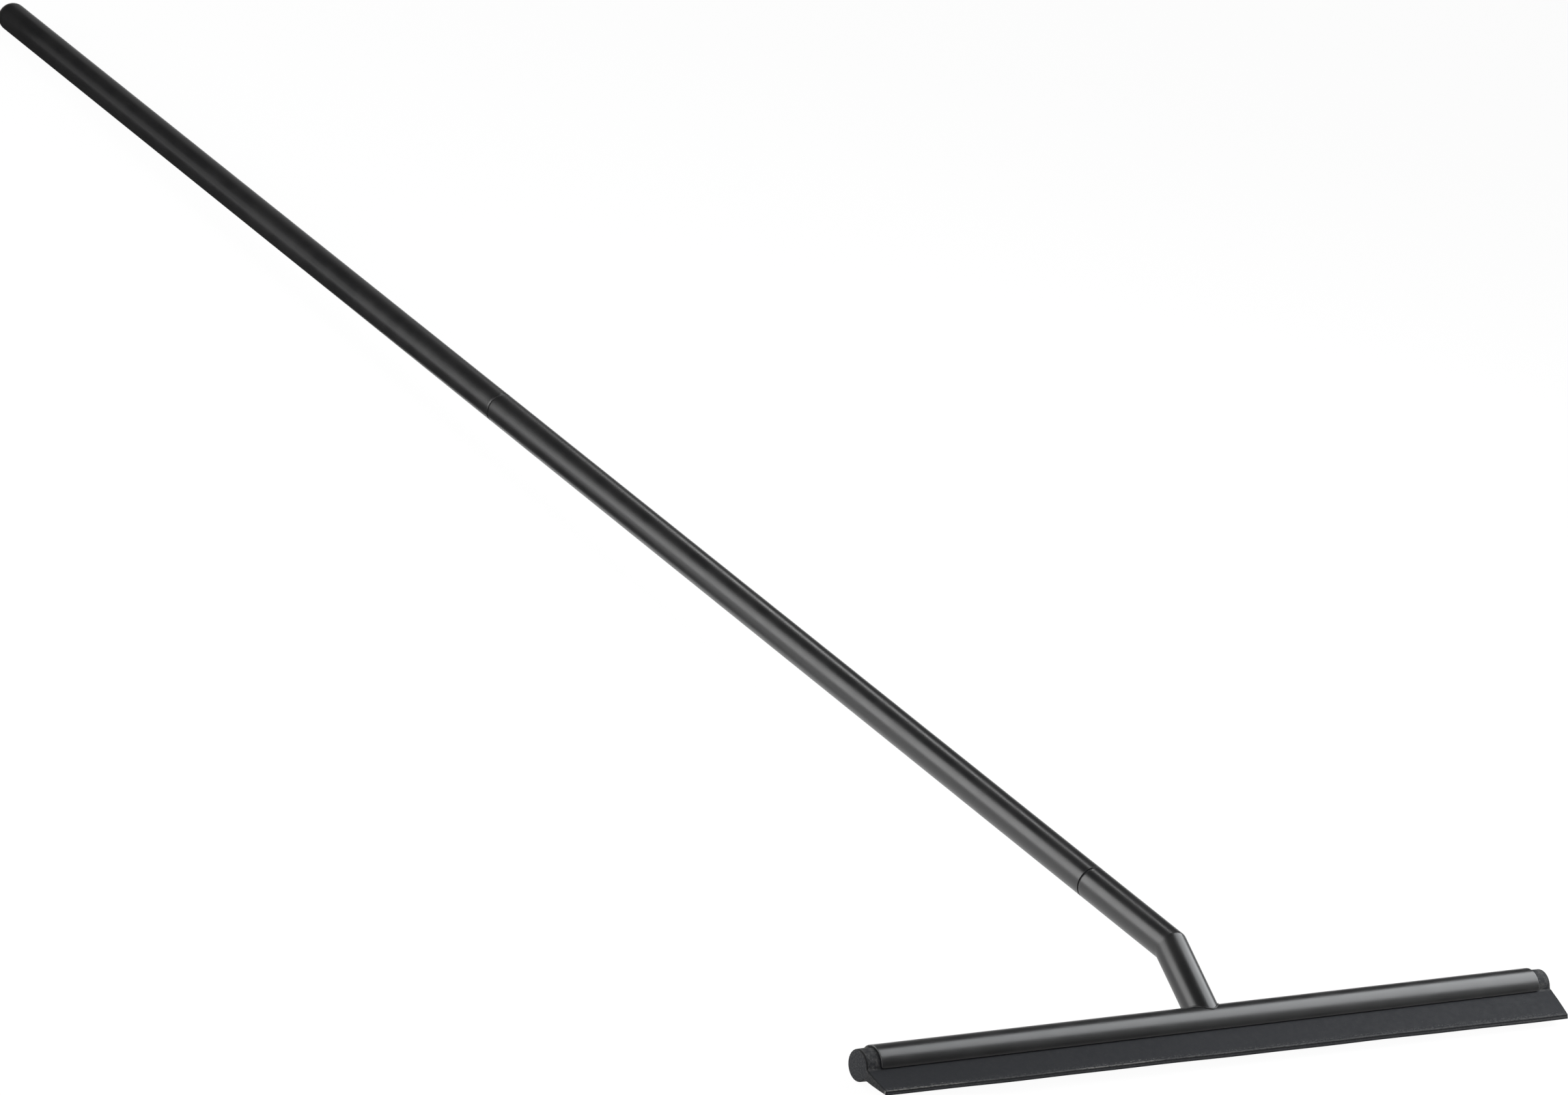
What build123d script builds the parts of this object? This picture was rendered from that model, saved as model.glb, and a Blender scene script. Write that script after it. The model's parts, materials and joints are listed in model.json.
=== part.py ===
"""Floor squeegee of black coated steel tube, laid down on the floor.

A slotted head tube grips the bulb of a rubber blade. A short neck is welded to the
middle of the head tube, mitred once, and carries a handle in two lengths that screw
together. The model lies on the line under the head tube and on the round handle end.

X runs along the head tube, +Y from the head to the handle end, +Z up.
The origin is under the middle of the bounding box, on the floor.
"""

import os
from math import asin, atan2, ceil, cos, degrees, hypot, radians, sin

from build123d import *

os.makedirs("parts", exist_ok=True)

# Head tube
head_diameter = 20.4
head_wall = 1.0
head_length = 442.0
slot_corner_radius = 1.6

# Rubber blade
bulb_clearance = 0.2
slot_clearance = 0.6
rubber_overhang = 9.0
blade_reach = 29.2
blade_root_thickness = 5.3
blade_edge_thickness = 1.8
edge_bevel = 1.4
root_fillet = 0.6
blade_lean = 21.5

# Neck and handle tubes
handle_diameter = 19.0
handle_wall = 1.2
neck_rise = 51.0
neck_reach = 77.0
bend_angle = 29.0
lower_handle_length = 640.0
upper_handle_length = 630.0
rim_chamfer = 0.4

# Welds
saddle_weld_leg = 0.8
mitre_weld_width = 2.0

# Screw joints between the tubes
washer_thickness = 0.5
washer_inset = 0.6
insert_clearance = 0.05
plug_length = 26.0
socket_length = 28.0
spigot_length = 20.0
thread_pitch = 4.0
thread_turns = 4
thread_start = 1.5
thread_root_diameter = 9.6
thread_depth = 1.2
thread_base_width = 2.2
thread_crest_width = 1.0
thread_clearance = 0.3
lead_in = 0.8

# End cap
cap_stem_length = 18.0

# Radii and lengths that follow from the sizes above
head_radius = head_diameter / 2
head_bore_radius = head_radius - head_wall
bulb_radius = head_bore_radius - bulb_clearance
handle_radius = handle_diameter / 2
handle_bore_radius = handle_radius - handle_wall
insert_radius = handle_bore_radius - insert_clearance
thread_root_radius = thread_root_diameter / 2
rubber_length = head_length + 2 * rubber_overhang

# Stations along the handle, measured from the mitre
lower_seam = neck_reach
lower_handle_start = lower_seam + washer_thickness
upper_seam = lower_handle_start + lower_handle_length
upper_handle_start = upper_seam + washer_thickness
dome_station = upper_handle_start + upper_handle_length

# Rubber section: the blade's faces close in by flank_slope each, from root to edge
flank_slope = (blade_root_thickness - blade_edge_thickness) / 2 / (blade_reach - head_radius)
blade_base_half = blade_root_thickness / 2 + flank_slope * head_radius
top_face_reach = blade_reach - edge_bevel
top_face_half = blade_edge_thickness / 2 + flank_slope * edge_bevel
bottom_face_half = blade_edge_thickness / 2

# The slot clears the rubber where it is thickest, at the bore
slot_width = 2 * (blade_base_half - flank_slope * head_bore_radius + slot_clearance)

# Lying on the floor sets how steeply the neck and the handle run
level_run = neck_rise + dome_station * cos(radians(bend_angle))
level_drop = dome_station * sin(radians(bend_angle))
settle_angle = asin((handle_radius - head_radius) / hypot(level_run, level_drop))
neck_angle = degrees(atan2(level_drop, level_run) + settle_angle)
handle_angle = neck_angle - bend_angle


def heading(angle):
    """Direction in the middle plane, at an angle above +Y."""
    return Vector(0, cos(radians(angle)), sin(radians(angle)))


neck_direction = heading(neck_angle)
handle_direction = heading(handle_angle)
mitre_direction = heading((neck_angle + handle_angle) / 2)
blade_direction = heading(neck_angle + 180 - blade_lean)
blade_down = heading(neck_angle + 270 - blade_lean)

# The box around the whole tool is centred on the origin along Y
edge_corners = (
    blade_direction * top_face_reach - blade_down * top_face_half,
    blade_direction * blade_reach + blade_down * bottom_face_half,
)
front_reach = min(corner.Y for corner in edge_corners)
back_reach = (neck_direction * neck_rise + handle_direction * dome_station).Y + handle_radius
head_centre = Vector(0, -(front_reach + back_reach) / 2, head_radius)
mitre_point = head_centre + neck_direction * neck_rise

head_plane = Plane(origin=head_centre, x_dir=blade_direction, z_dir=(1, 0, 0))
neck_plane = Plane(origin=head_centre, x_dir=(1, 0, 0), z_dir=neck_direction)
handle_plane = Plane(origin=mitre_point, x_dir=(1, 0, 0), z_dir=handle_direction)
mitre_plane = Plane(origin=mitre_point, x_dir=(1, 0, 0), z_dir=mitre_direction)
handle_axis = Axis(mitre_point, handle_direction)


# Head tube: a round tube slotted along its whole length, with rounded slot ends
with BuildPart() as head_tube:
    with BuildSketch(head_plane):
        Circle(head_radius)
        Circle(head_bore_radius, mode=Mode.SUBTRACT)
        Rectangle(head_diameter, slot_width, align=(Align.MIN, Align.CENTER), mode=Mode.SUBTRACT)
    extrude(amount=head_length / 2, both=True)
    slot_corners = head_tube.edges().filter_by(Axis(head_centre, blade_direction))
    fillet(slot_corners, slot_corner_radius)


# Rubber blade: a bulb that sits in the bore and a wedge that comes out of the slot
with BuildPart() as rubber_blade:
    with BuildSketch(head_plane) as rubber_section:
        Circle(bulb_radius)
        with BuildLine():
            Polyline(
                (0, -blade_base_half),
                (top_face_reach, -top_face_half),
                (blade_reach, bottom_face_half),
                (0, blade_base_half),
                close=True,
            )
        make_face()
        root_corners = rubber_section.vertices().sort_by(Axis.X)[:2]
        fillet(root_corners, root_fillet)
    extrude(amount=rubber_length / 2, both=True)


# Lower neck tube: coped over the head tube and cut short of the mitre for the weld
with BuildPart() as neck_lower_tube:
    with BuildSketch(neck_plane):
        Circle(handle_radius)
        Circle(handle_bore_radius, mode=Mode.SUBTRACT)
    extrude(amount=neck_rise + handle_diameter)
    split(bisect_by=mitre_plane.offset(-mitre_weld_width / 2), keep=Keep.BOTTOM)
    with BuildSketch(head_plane):
        Circle(head_radius)
    extrude(amount=head_length / 2, both=True, mode=Mode.SUBTRACT)


# Upper neck tube: from the mitre weld to the lower seam
with BuildPart() as neck_upper_tube:
    with BuildSketch(handle_plane.offset(-handle_diameter)):
        Circle(handle_radius)
        Circle(handle_bore_radius, mode=Mode.SUBTRACT)
    extrude(amount=handle_diameter + lower_seam)
    split(bisect_by=mitre_plane.offset(mitre_weld_width / 2), keep=Keep.TOP)
    seam_rim = neck_upper_tube.faces().sort_by(handle_axis)[-1].outer_wire().edges()
    chamfer(seam_rim, rim_chamfer)


# Mitre weld: fills the gap between the neck tubes, ground flush, alike on both sides
with BuildPart() as mitre_weld:
    with BuildSketch(neck_plane):
        Circle(handle_radius)
        Circle(handle_bore_radius, mode=Mode.SUBTRACT)
    extrude(amount=neck_rise + handle_diameter)
    split(bisect_by=mitre_plane, keep=Keep.BOTTOM)
    split(bisect_by=mitre_plane.offset(-mitre_weld_width / 2), keep=Keep.TOP)
    mirror(about=mitre_plane)


# Saddle weld: the flat-faced bead where the neck stands on the head tube
with BuildPart() as saddle_weld:
    with BuildSketch(head_plane):
        Circle(head_radius)
    extrude(amount=handle_diameter, both=True)
    with BuildSketch(neck_plane):
        Circle(handle_radius)
    extrude(amount=neck_rise)
    saddle_edge = saddle_weld.edges().filter_by(GeomType.CIRCLE, reverse=True)
    saddle_edge = saddle_edge.filter_by(GeomType.LINE, reverse=True)
    chamfer(saddle_edge, saddle_weld_leg)
    with BuildSketch(head_plane):
        Circle(head_radius)
    extrude(amount=handle_diameter, both=True, mode=Mode.SUBTRACT)
    with BuildSketch(neck_plane):
        Circle(handle_radius)
    extrude(amount=neck_rise, mode=Mode.SUBTRACT)


def handle_tube(start, length, capped):
    """One length of handle tube, its rim chamfered at each seam and square at a cap."""
    with BuildPart() as tube:
        with BuildSketch(handle_plane.offset(start)):
            Circle(handle_radius)
            Circle(handle_bore_radius, mode=Mode.SUBTRACT)
        extrude(amount=length)
        end_faces = tube.faces().filter_by(GeomType.PLANE).sort_by(handle_axis)
        seam_faces = end_faces[:1] if capped else end_faces
        chamfer([face.outer_wire().edge() for face in seam_faces], rim_chamfer)
    return tube


def threaded_spigot(seam):
    """Male insert: a plug fixed in the tube below the seam, with a threaded nose above it."""
    with BuildPart() as spigot:
        with BuildSketch(handle_plane.offset(seam - plug_length)):
            Circle(insert_radius)
        extrude(amount=plug_length)
        with BuildSketch(handle_plane.offset(seam)):
            Circle(thread_root_radius)
        extrude(amount=spigot_length)
        chamfer(spigot.faces().sort_by(handle_axis)[-1].edges(), lead_in)
        ridge_base = handle_plane.offset(seam + thread_start)
        with BuildLine(ridge_base) as ridge:
            Helix(
                thread_pitch,
                thread_turns * thread_pitch,
                thread_root_radius,
                direction=handle_direction,
            )
        outward = ridge.line @ 0 - ridge_base.origin
        with BuildSketch(Plane(ridge.line @ 0, x_dir=outward, z_dir=ridge.line % 0)):
            with BuildLine():
                Polyline(
                    (-thread_depth / 2, -thread_base_width / 2),
                    (0, -thread_base_width / 2),
                    (thread_depth, -thread_crest_width / 2),
                    (thread_depth, thread_crest_width / 2),
                    (0, thread_base_width / 2),
                    (-thread_depth / 2, thread_base_width / 2),
                    close=True,
                )
            make_face()
        sweep(path=ridge.line, is_frenet=True)
    return spigot


def threaded_socket(seam):
    """Female insert: a bush fixed in the tube above the seam, grooved to clear the ridge."""
    mouth = seam + washer_thickness
    groove_turns = ceil((socket_length + 2 * thread_pitch) / thread_pitch)
    with BuildPart() as socket:
        with BuildSketch(handle_plane.offset(mouth)):
            Circle(insert_radius)
        extrude(amount=socket_length)
        groove_base = handle_plane.offset(seam + thread_start - thread_pitch)
        with BuildLine(groove_base) as groove:
            Helix(
                thread_pitch,
                groove_turns * thread_pitch,
                thread_root_radius,
                direction=handle_direction,
            )
        outward = groove.line @ 0 - groove_base.origin
        with BuildSketch(Plane(groove.line @ 0, x_dir=outward, z_dir=groove.line % 0)):
            with BuildLine():
                Polyline(
                    (-thread_depth / 2, -thread_base_width / 2 - thread_clearance),
                    (0, -thread_base_width / 2 - thread_clearance),
                    (thread_depth + thread_clearance, -thread_crest_width / 2 - thread_clearance),
                    (thread_depth + thread_clearance, thread_crest_width / 2 + thread_clearance),
                    (0, thread_base_width / 2 + thread_clearance),
                    (-thread_depth / 2, thread_base_width / 2 + thread_clearance),
                    close=True,
                )
            make_face()
        sweep(path=groove.line, is_frenet=True, mode=Mode.SUBTRACT)
        with BuildSketch(handle_plane.offset(mouth)):
            Circle(thread_root_radius + thread_clearance)
        extrude(amount=socket_length, mode=Mode.SUBTRACT)
    return socket


def joint_washer(seam):
    """Thin washer between two tube ends, a little smaller than the tubes."""
    with BuildPart() as washer:
        with BuildSketch(handle_plane.offset(seam)):
            Circle(handle_radius - washer_inset)
            Circle(thread_root_radius + thread_depth + thread_clearance, mode=Mode.SUBTRACT)
        extrude(amount=washer_thickness)
    return washer


# End cap: a half ball flush with the tube, on a stem that fills the bore
with BuildPart() as handle_end_cap:
    with BuildSketch(handle_plane.offset(dome_station - cap_stem_length)):
        Circle(insert_radius)
    extrude(amount=cap_stem_length)
    with Locations(handle_plane.offset(dome_station)):
        Sphere(handle_radius, arc_size1=0, align=(Align.CENTER, Align.CENTER, Align.MIN))


pieces = {
    "head_tube": head_tube,
    "rubber_blade": rubber_blade,
    "neck_lower_tube": neck_lower_tube,
    "neck_upper_tube": neck_upper_tube,
    "mitre_weld": mitre_weld,
    "saddle_weld": saddle_weld,
    "neck_spigot": threaded_spigot(lower_seam),
    "lower_joint_washer": joint_washer(lower_seam),
    "lower_handle_socket": threaded_socket(lower_seam),
    "lower_handle_tube": handle_tube(lower_handle_start, lower_handle_length, capped=False),
    "lower_handle_spigot": threaded_spigot(upper_seam),
    "upper_joint_washer": joint_washer(upper_seam),
    "upper_handle_socket": threaded_socket(upper_seam),
    "upper_handle_tube": handle_tube(upper_handle_start, upper_handle_length, capped=True),
    "handle_end_cap": handle_end_cap,
}
for name, piece in pieces.items():
    piece.part.label = name
    export_step(piece.part, f"parts/{name}.step")
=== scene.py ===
# %% [markdown]
# # A floor squeegee, dressed for its portrait
#
# The CAD model already holds every piece at its real size and place. Here each piece that shows
# gets the soft edges, small marks and finish of the real thing, and a studio like the
# photograph's. The frame comes in first, and nothing in it is ever moved.

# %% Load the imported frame
import json
import math
import bmesh
import bpy
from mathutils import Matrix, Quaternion, Vector


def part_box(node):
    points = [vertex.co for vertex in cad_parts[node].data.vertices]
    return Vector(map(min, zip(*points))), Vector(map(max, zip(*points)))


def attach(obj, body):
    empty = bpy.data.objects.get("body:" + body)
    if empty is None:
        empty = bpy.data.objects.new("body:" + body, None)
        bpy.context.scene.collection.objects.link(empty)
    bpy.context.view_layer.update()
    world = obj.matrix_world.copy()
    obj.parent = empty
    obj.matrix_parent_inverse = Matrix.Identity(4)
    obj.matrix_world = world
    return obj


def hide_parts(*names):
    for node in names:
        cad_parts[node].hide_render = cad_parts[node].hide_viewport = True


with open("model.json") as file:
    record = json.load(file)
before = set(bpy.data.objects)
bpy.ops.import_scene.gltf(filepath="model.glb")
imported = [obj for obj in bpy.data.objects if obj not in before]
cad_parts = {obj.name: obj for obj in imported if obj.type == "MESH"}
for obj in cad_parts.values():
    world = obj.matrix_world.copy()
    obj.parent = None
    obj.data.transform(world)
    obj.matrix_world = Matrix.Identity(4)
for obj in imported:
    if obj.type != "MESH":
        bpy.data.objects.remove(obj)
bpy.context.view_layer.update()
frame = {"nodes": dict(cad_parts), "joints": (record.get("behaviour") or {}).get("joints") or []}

# %% [markdown]
# ## The lines that everything follows
#
# The tool is three straight lines: the head tube along X, the neck that rises from its middle,
# and the handle. The frame gives the head tube's box and the two screw axes, and the rest
# follows from them. Two sizes cannot be read from a box, so they are written down here: how far
# the neck's upper leg reaches, and how much the blade leans against the neck.

# %% Axes and radii from the frame
neck_reach = 0.077
blade_lean = math.radians(21.5)
quarter_turn = math.radians(90)

joints = {joint["name"]: joint for joint in frame["joints"]}
handle_direction = Vector(joints["lower_screw_turn"]["axis"]).normalized()
lower_seam = Vector(joints["lower_screw_turn"]["pos_m"])
upper_seam = Vector(joints["upper_screw_turn"]["pos_m"])

head_low, head_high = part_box("head_tube")
head_radius = (head_high.z - head_low.z) / 2
head_centre = Vector((0, head_high.y - head_radius, head_low.z + head_radius))
along_head = Vector((1, 0, 0))

handle_low, handle_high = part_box("lower_handle_tube")
handle_radius = (handle_high.x - handle_low.x) / 2

mitre_point = lower_seam - handle_direction * neck_reach
neck_direction = (mitre_point - head_centre).normalized()
mitre_normal = (neck_direction + handle_direction).normalized()
blade_direction = Quaternion(along_head, -blade_lean) @ -neck_direction
blade_down = Quaternion(along_head, quarter_turn) @ blade_direction
neck_slope = math.degrees(math.atan2(neck_direction.z, neck_direction.y))

print("head radius %.4f, handle radius %.4f" % (head_radius, handle_radius))
print("neck rises at %.2f degrees" % neck_slope)
print("blade points at", [round(value, 4) for value in blade_direction])

# %% [markdown]
# ## Camera
#
# The photograph was taken with a long lens from the front left, a little above, with the camera
# tipped so that the handle runs to the top left corner. The camera is placed by the angle it looks
# from, the spot on the floor in the middle of its picture, and how far it stands back.

# %% Place the camera
camera_azimuth = math.radians(-37.281)
camera_elevation = math.radians(23.178)
camera_roll = math.radians(12.177)
camera_distance = 5.3275
camera_aim = Vector((0.10599, -0.08865, 0))
lens_length, sensor_width = 205.294, 36.0
nearest_seen, farthest_seen = 0.1, 200.0

bpy.ops.object.camera_add()
camera = bpy.context.object
camera.name = "photo_camera"
look_back = Vector((
    math.sin(camera_azimuth) * math.cos(camera_elevation),
    -math.cos(camera_azimuth) * math.cos(camera_elevation),
    math.sin(camera_elevation),
))
level_view = (-look_back).to_track_quat("-Z", "Y")
camera.location = camera_aim + look_back * camera_distance
camera.rotation_mode = "QUATERNION"
camera.rotation_quaternion = level_view @ Quaternion((0, 0, 1), camera_roll)
camera.data.sensor_width = sensor_width
camera.data.lens = lens_length
camera.data.clip_start = nearest_seen
camera.data.clip_end = farthest_seen
bpy.context.scene.camera = camera
print("camera at", [round(value, 3) for value in camera.location])

# %% [markdown]
# ## Node helpers
#
# A lamp's glow or a piece's finish is a small network of nodes: coordinates go in, patterns and
# masks are worked out from them, and the last ones drive the shader. It could be wired by hand in
# the shader editor. In code, short calls read better, so each helper adds a node or two and gives
# back the output that the next one takes.

# %% Values and colours
def feed(tree, socket, value):
    """Links a socket to another node's output, or sets it to a plain number or colour."""
    if isinstance(value, bpy.types.NodeSocket):
        tree.links.new(value, socket)
    else:
        socket.default_value = value


def compute(tree, operation, *values):
    """One arithmetic node on one or two values."""
    node = tree.nodes.new("ShaderNodeMath")
    node.operation = operation
    for socket, value in zip(node.inputs, values):
        feed(tree, socket, value)
    return node.outputs["Value"]


def product(tree, *values):
    """All the values multiplied together."""
    result = values[0]
    for value in values[1:]:
        result = compute(tree, "MULTIPLY", result, value)
    return result


def greatest(tree, *values):
    """The largest of the values at each point."""
    result = values[0]
    for value in values[1:]:
        result = compute(tree, "MAXIMUM", result, value)
    return result


def spread(tree, value, from_low, from_high, to_low, to_high, curve="SMOOTHSTEP"):
    """Maps a value's range to another, with soft ends unless another curve is named."""
    node = tree.nodes.new("ShaderNodeMapRange")
    node.interpolation_type = curve
    limits = {"From Min": from_low, "From Max": from_high, "To Min": to_low, "To Max": to_high}
    for name, limit in limits.items():
        node.inputs[name].default_value = limit
    tree.links.new(value, node.inputs["Value"])
    return node.outputs["Result"]


def between(tree, value, low, high, blur):
    """1 between two values, fading out over a blur on either side."""
    rise = spread(tree, value, low - blur, low, 0.0, 1.0)
    fall = spread(tree, value, high, high + blur, 1.0, 0.0)
    return product(tree, rise, fall)


def blend_colours(tree, factor, first, second):
    """Mixes two colours, each of them plain or from another node."""
    node = tree.nodes.new("ShaderNodeMix")
    node.data_type = "RGBA"
    tree.links.new(factor, node.inputs["Factor"])
    feed(tree, node.inputs["A"], first)
    feed(tree, node.inputs["B"], second)
    return node.outputs["Result"]


# %% Places and patterns
def noise(tree, place, scale, detail=2.0, roughness=0.5):
    """Noise of about 1/scale metres."""
    node = tree.nodes.new("ShaderNodeTexNoise")
    node.inputs["Scale"].default_value = scale
    node.inputs["Detail"].default_value = detail
    node.inputs["Roughness"].default_value = roughness
    tree.links.new(place, node.inputs["Vector"])
    return node.outputs["Fac"]


def stretched(tree, place, factors):
    """The piece's coordinates, stretched so that a pattern runs long along one axis."""
    node = tree.nodes.new("ShaderNodeMapping")
    node.inputs["Scale"].default_value = factors
    tree.links.new(place, node.inputs["Vector"])
    return node.outputs["Vector"]


def measure_along(tree, place, origin, direction):
    """How far a point lies from an origin along a direction."""
    offset = tree.nodes.new("ShaderNodeVectorMath")
    offset.operation = "SUBTRACT"
    offset.inputs[1].default_value = origin
    along = tree.nodes.new("ShaderNodeVectorMath")
    along.operation = "DOT_PRODUCT"
    along.inputs[1].default_value = direction
    tree.links.new(place, offset.inputs[0])
    tree.links.new(offset.outputs["Vector"], along.inputs[0])
    return along.outputs["Value"]


def facing_along_head(tree, kind):
    """1 where the surface looks along the head, 0 where it looks away from the head's axis."""
    normal = tree.nodes.new("ShaderNodeNewGeometry").outputs[kind]
    return compute(tree, "ABSOLUTE", measure_along(tree, normal, (0, 0, 0), along_head))


# %% Materials
def new_material(name):
    """A node material: itself, its network, its shader and the piece's own coordinates."""
    material = bpy.data.materials.new(name)
    material.use_nodes = True
    tree = material.node_tree
    shader = tree.nodes["Principled BSDF"]
    place = tree.nodes.new("ShaderNodeTexCoord")
    return material, tree, shader, place.outputs["Object"]


def stage_material(name):
    """A material with an empty network, for what belongs to the studio."""
    material = bpy.data.materials.new(name)
    material.use_nodes = True
    material.node_tree.nodes.clear()
    return material, material.node_tree


def mix_shaders(tree, factor, first, second):
    """Ends a network with the first shader where the factor is 0 and the second where it is 1."""
    mixed = tree.nodes.new("ShaderNodeMixShader")
    out = tree.nodes.new("ShaderNodeOutputMaterial")
    for socket, source in zip(mixed.inputs, (factor, first, second)):
        tree.links.new(source, socket)
    tree.links.new(mixed.outputs["Shader"], out.inputs["Surface"])


def bump(tree, shader, height, depth):
    """Raises the surface by up to depth metres where height is 1."""
    node = tree.nodes.new("ShaderNodeBump")
    node.inputs["Distance"].default_value = depth
    tree.links.new(height, node.inputs["Height"])
    tree.links.new(node.outputs["Normal"], shader.inputs["Normal"])


# %% [markdown]
# ## Studio
#
# Black gloss shows the room more than itself, so the lamps are chosen by what the tubes mirror in
# the photograph. A tall panel on the right, dimmer towards its top, makes the bright band along
# the head, and a faint skirt in front of it softens the lower side of that band. A long panel on
# the left makes the band along the handle, and a slim strip behind on the right makes the thin
# line beside it. Two faint panels behind keep the far end of the handle from going black. One more
# at the front left lights the neck's foot and the cut end of the rubber, and one in front lights
# the lip. Overhead is dark, which gives the tubes their dark bands. A panel is set by how bright
# it looks, where 1 is white paper.

# %% Soft panels
watts_per_brightness = 4.0
cool_tint = (0.96, 0.98, 1.0)


def soft_panel(name, centre, aim, width, height, brightness, tint=(1, 1, 1)):
    """A rectangular lamp that looks equally bright all over, and that the camera does not see."""
    bpy.ops.object.light_add(type="AREA", location=centre)
    panel = bpy.context.object
    panel.name = name
    panel.rotation_mode = "QUATERNION"
    panel.rotation_quaternion = (Vector(aim) - Vector(centre)).to_track_quat("-Z", "Y")
    panel.data.shape = "RECTANGLE"
    panel.data.size = width
    panel.data.size_y = height
    panel.data.energy = watts_per_brightness * width * height * brightness
    panel.data.color = tint
    panel.visible_camera = False
    print("%s: %.0f watts" % (name, panel.data.energy))
    return panel


def dim_upward(panel, start, end, share):
    """Lets a panel's brightness fall to a share of itself, from one height on it to another."""
    panel.data.use_nodes = True
    tree = panel.data.node_tree
    spot = tree.nodes.new("ShaderNodeNewGeometry")
    split = tree.nodes.new("ShaderNodeSeparateXYZ")
    tree.links.new(spot.outputs["Parametric"], split.inputs["Vector"])
    fall = spread(tree, split.outputs["Y"], start, end, 1.0, share, curve="LINEAR")
    tree.links.new(fall, tree.nodes["Emission"].inputs["Strength"])


# %% Place the panels
bpy.ops.object.select_all(action="DESELECT")
right_panel = soft_panel(
    "right_panel", centre=(0.60, -0.662, 0.71), aim=(0, -0.662, 0.15),
    width=0.80, height=0.89, brightness=4.3, tint=cool_tint,
)
dim_upward(right_panel, start=0.30, end=0.62, share=0.75)
for name, centre, aim, width, height, brightness in (
    ("right_skirt", (0.60, -1.24, 0.43), (0, -0.69, 0.0), 0.38, 0.54, 0.5),
    ("left_panel", (-1.297, 0.355, 0.60), (-0.527, -0.285, 0.60), 1.50, 1.14, 3.1),
    ("back_strip", (0.48, 0.68, 0.94), (0, -0.20, 0.94), 0.15, 0.82, 3.9),
    ("back_glow", (0.85, 1.90, 0.60), (0, 0.30, 0.30), 1.0, 1.0, 0.2),
    ("end_glow", (-0.85, 1.60, 0.30), (0, 0.50, 0.02), 0.30, 0.60, 0.4),
    ("left_front", (-1.30, -0.80, 0.62), (-0.20, -0.69, 0.0), 1.2, 0.7, 1.8),
    ("front_fill", (-0.90, -2.40, 1.90), (0, -0.40, 0.0), 1.2, 0.9, 3.0),
):
    soft_panel(name, centre, aim, width, height, brightness)

# %% [markdown]
# The floor is white paper. Seen by the camera or in a mirror it is mostly plain white, as in the
# photograph, and the rest of it is ordinary paper that the lamps light, so a faint shadow stays
# under the tool. The room around it is a dim, even grey.

# %% Floor and room
def flat_sheet(name, centre, width, length, turn=(0, 0, 0)):
    """A rectangle for the studio, with its place in its mesh."""
    bpy.ops.object.select_all(action="DESELECT")
    bpy.ops.mesh.primitive_plane_add(size=1, location=centre, rotation=turn)
    sheet = bpy.context.object
    sheet.name = name
    sheet.scale = (width, length, 1)
    bpy.ops.object.transform_apply(location=True, rotation=True, scale=True)
    return sheet


floor_width = 80.0
floor_gap = 0.0002
paper_colour = (0.86, 0.86, 0.86, 1)
paper_white = 1.04
white_share = 0.92
room_grey = 0.085

floor = flat_sheet("paper_floor", (0, 0, -floor_gap), floor_width, floor_width)
paper, tree = stage_material("white_paper")
path = tree.nodes.new("ShaderNodeLightPath").outputs
seen = greatest(tree, path["Is Camera Ray"], path["Is Glossy Ray"], path["Is Transmission Ray"])
lit = tree.nodes.new("ShaderNodeBsdfDiffuse")
lit.inputs["Color"].default_value = paper_colour
plain = tree.nodes.new("ShaderNodeEmission")
plain.inputs["Strength"].default_value = paper_white
mix_shaders(tree, product(tree, seen, white_share), lit.outputs["BSDF"], plain.outputs["Emission"])
floor.data.materials.append(paper)

room = bpy.context.scene.world or bpy.data.worlds.new("room")
bpy.context.scene.world = room
room.use_nodes = True
room_light = room.node_tree.nodes["Background"]
room_light.inputs["Color"].default_value = (1, 1, 1, 1)
room_light.inputs["Strength"].default_value = room_grey
bpy.context.scene.view_settings.view_transform = "Standard"
print("floor", floor_width, "m wide, room brightness", room_grey)

# %% [markdown]
# Black gloss on white paper loses its lower edge, because that edge mirrors the paper. A black
# card beside the upper handle is a painted shadow: it lies where the handle's shadow falls on the
# paper, and gives the tube back its dark side, as in the photograph. The card is graduated, so it
# has no hard end. A second card, small and upright, stands to the left of the handle's end. It
# hides the lamps on the left from the last few centimetres, so the band of light stops short of
# the end. Only mirrors see the cards.

# %% Black card on the floor
def mirrors_only(card):
    """Hides a card from the camera and the lamps: it shows in mirrors and throws no shadow."""
    for ray in ("camera", "diffuse", "transmission", "shadow"):
        setattr(card, "visible_" + ray, False)


# Painted shadow: a dark card on the paper where the handle's shadow lies, seen only in mirrors.
card_low, card_high = Vector((-0.40, -0.45, 0)), Vector((0.018, 0.90, 0))
card_cut = 0.043
card_height = 0.002
fade_slant, fade_start, fade_end = (7.5, 1, 0), -0.66, -0.24
card_black = (0.15, 0.15, 0.15, 1)

card_centre = (card_low + card_high) / 2 + Vector((0, 0, card_height))
card_size = card_high - card_low
card = flat_sheet("black_card", card_centre, card_size.x, card_size.y)
for corner in card.data.vertices:
    if corner.co.x > 0 and corner.co.y < 0:
        corner.co.x -= card_cut
mirrors_only(card)

dark_card_shade, tree = stage_material("graduated_card")
card_place = tree.nodes.new("ShaderNodeTexCoord").outputs["Object"]
card_slant = measure_along(tree, card_place, (0, 0, 0), fade_slant)
card_fade = spread(tree, card_slant, fade_start, fade_end, 0.0, 1.0)
clear_end = tree.nodes.new("ShaderNodeBsdfTransparent")
black_end = tree.nodes.new("ShaderNodeBsdfDiffuse")
black_end.inputs["Color"].default_value = card_black
mix_shaders(tree, card_fade, clear_end.outputs["BSDF"], black_end.outputs["BSDF"])
card.data.materials.append(dark_card_shade)
print("card from", list(card_low), "to", list(card_high))

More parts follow.
